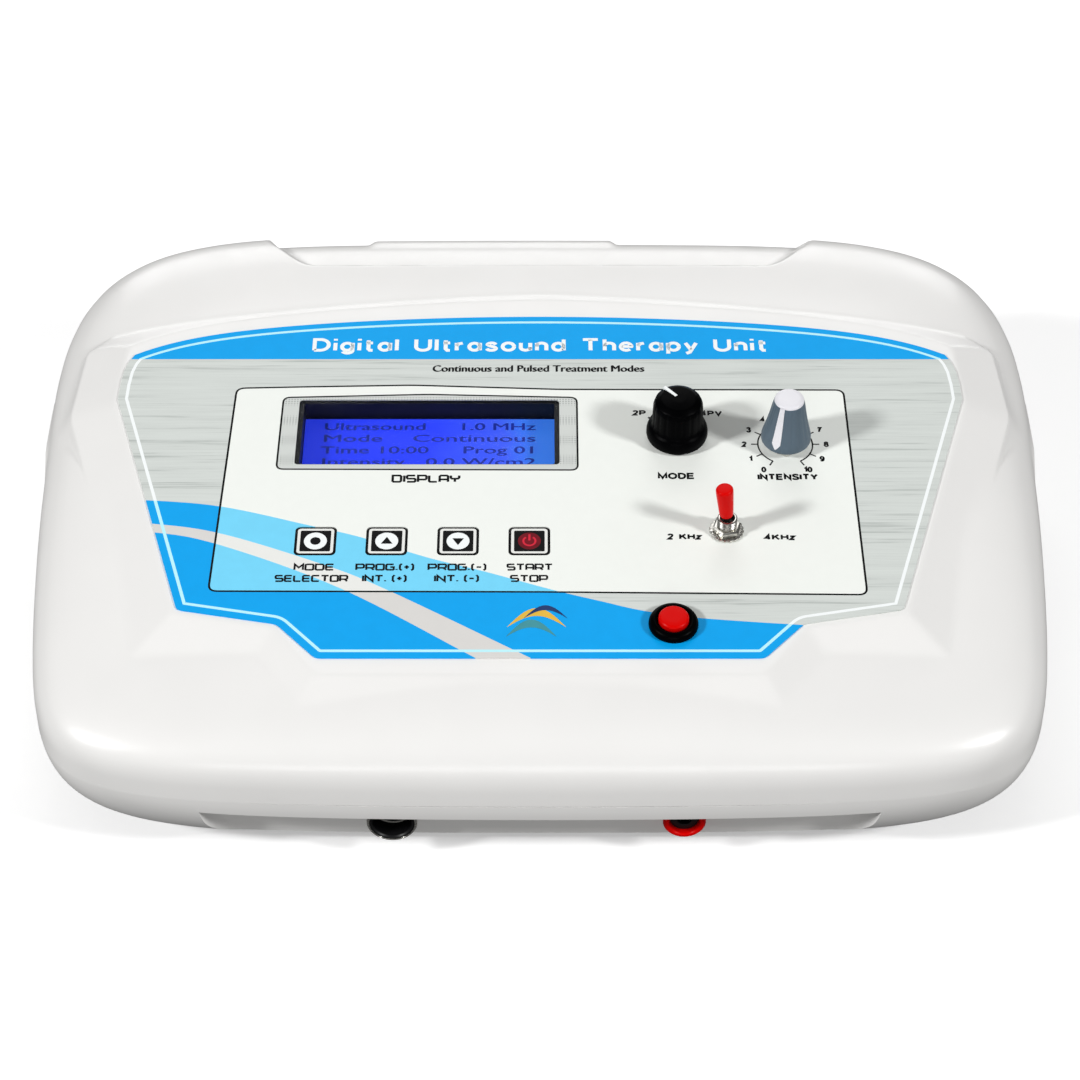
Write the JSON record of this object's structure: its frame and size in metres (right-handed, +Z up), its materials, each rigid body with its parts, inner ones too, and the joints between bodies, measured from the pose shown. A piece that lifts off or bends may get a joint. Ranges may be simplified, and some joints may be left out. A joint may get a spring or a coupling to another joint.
{
  "type": "ultrasound therapy device",
  "caption": "Pillow-shaped white console with a sloping printed control panel, blue display, membrane keys, two knobs, toggle, push button, front sockets and rear mains inlet.",
  "frame": {"origin": "on the table under the middle of the case, at the bottom of the rubber feet", "axes": "+X to the operator's right, +Y from the operator to the rear, +Z up"},
  "size_m": [0.3154, 0.2379, 0.0864],
  "materials": {
    "white_case": "smooth glossy moulded ABS, warm white",
    "printed_film": "satin printed polycarbonate overlay: blue, brushed silver and cream",
    "clear_window": "clear glossy film over the display",
    "black_plastic": "satin black",
    "black_gloss": "glossy black knob plastic",
    "key_print": "satin printed key, black square with a white disc",
    "lcd_blue": "backlit blue liquid crystal with faint characters",
    "circuit_board": "green solder mask with copper tracks",
    "component_black": "moulded component body",
    "white_print": "white fill",
    "grey_knob": "satin slate-grey knob",
    "silver_cap": "silver-white cap",
    "steel": "bright nickel plate",
    "aluminium": "natural, satin",
    "red_plastic": "glossy signal red",
    "rubber": "matte black",
    "brass": "plated contact",
    "laminated_steel": "varnished laminations",
    "winding": "enamelled copper wire under amber tape",
    "grey_cable": "grey ribbon cable"
  },
  "bodies": {
    "console": {"top_shell": "white_case", "bottom_shell": "white_case", "control_overlay": "printed_film", "display_window": "clear_window", "lcd_bezel": "black_plastic", "lcd_glass": "lcd_blue", "lcd_board": "circuit_board", "keypad_board": "circuit_board", "mode_switch": "component_black", "mode_switch_nut": "steel", "intensity_potentiometer": "aluminium", "intensity_nut": "steel", "toggle_switch": "steel", "toggle_washer": "steel", "toggle_nut": "steel", "push_button_body": "black_gloss", "push_button_nut": "steel", "probe_socket_shell": "steel", "probe_socket_insert": "black_plastic", "probe_socket_nut": "steel", "output_jack_collar": "red_plastic", "output_jack_insert": "black_plastic", "output_jack_nut": "brass", "mains_inlet": "black_plastic", "mains_pin_1": "brass", "mains_pin_2": "brass", "mains_pin_3": "brass", "power_switch_frame": "black_plastic", "fuse_holder": "black_plastic", "fuse_cap": "black_plastic", "main_board": "circuit_board", "microcontroller": "component_black", "heat_sink": "aluminium", "output_transistor": "component_black", "smoothing_capacitor": "component_black", "transformer_core": "laminated_steel", "transformer_coil": "winding", "display_ribbon": "grey_cable", "case_screw_1": "steel", "case_screw_2": "steel", "case_screw_3": "steel", "case_screw_4": "steel", "rubber_foot_1": "rubber", "rubber_foot_2": "rubber", "rubber_foot_3": "rubber", "rubber_foot_4": "rubber"},
    "mode_knob": {"mode_knob": "black_gloss", "mode_knob_pointer": "white_print", "mode_shaft": "aluminium"},
    "intensity_knob": {"intensity_knob": "grey_knob", "intensity_knob_cap": "silver_cap", "intensity_shaft": "aluminium"},
    "toggle_lever": {"toggle_lever": "steel", "toggle_sleeve": "red_plastic"},
    "push_button": {"push_button_cap": "red_plastic"},
    "mode_selector_key": {"key_mode_selector": "key_print"},
    "program_up_key": {"key_program_up": "key_print"},
    "program_down_key": {"key_program_down": "key_print"},
    "start_stop_key": {"key_start_stop": "key_print"},
    "power_rocker": {"power_switch_rocker": "red_plastic"}
  },
  "joints": [
    {"name": "mode_turn", "type": "hinge", "parent": "console", "child": "mode_knob", "pos_m": [0.0421, 0.00202, 0.07473], "axis": [0, 0.1045, -0.9945], "range_deg": [0, 96]},
    {"name": "intensity_turn", "type": "hinge", "parent": "console", "child": "intensity_knob", "pos_m": [0.0753, -0.00156, 0.07436], "axis": [0, 0.1045, -0.9945], "range_deg": [0, 300]},
    {"name": "toggle_throw", "type": "hinge", "parent": "console", "child": "toggle_lever", "pos_m": [0.0555, -0.03738, 0.06597], "axis": [0, 0.9945, 0.1045], "range_deg": [0, 12]},
    {"name": "push_button_press", "type": "slide", "parent": "console", "child": "push_button", "axis": [0, 0.1045, -0.9945], "range_m": [0, 0.0015], "stiffness_N_per_m": 800, "springref_m": -0.002},
    {"name": "mode_selector_press", "type": "slide", "parent": "console", "child": "mode_selector_key", "axis": [0, 0.1045, -0.9945], "range_m": [0, 0.0004], "stiffness_N_per_m": 1000, "springref_m": -0.001},
    {"name": "program_up_press", "type": "slide", "parent": "console", "child": "program_up_key", "axis": [0, 0.1045, -0.9945], "range_m": [0, 0.0004], "stiffness_N_per_m": 1000, "springref_m": -0.001},
    {"name": "program_down_press", "type": "slide", "parent": "console", "child": "program_down_key", "axis": [0, 0.1045, -0.9945], "range_m": [0, 0.0004], "stiffness_N_per_m": 1000, "springref_m": -0.001},
    {"name": "start_stop_press", "type": "slide", "parent": "console", "child": "start_stop_key", "axis": [0, 0.1045, -0.9945], "range_m": [0, 0.0004], "stiffness_N_per_m": 1000, "springref_m": -0.001},
    {"name": "power_rocker_tilt", "type": "hinge", "parent": "console", "child": "power_rocker", "pos_m": [-0.008, 0.1045, 0.0177], "axis": [0, 0, 1], "range_deg": [0, 20]}
  ]
}
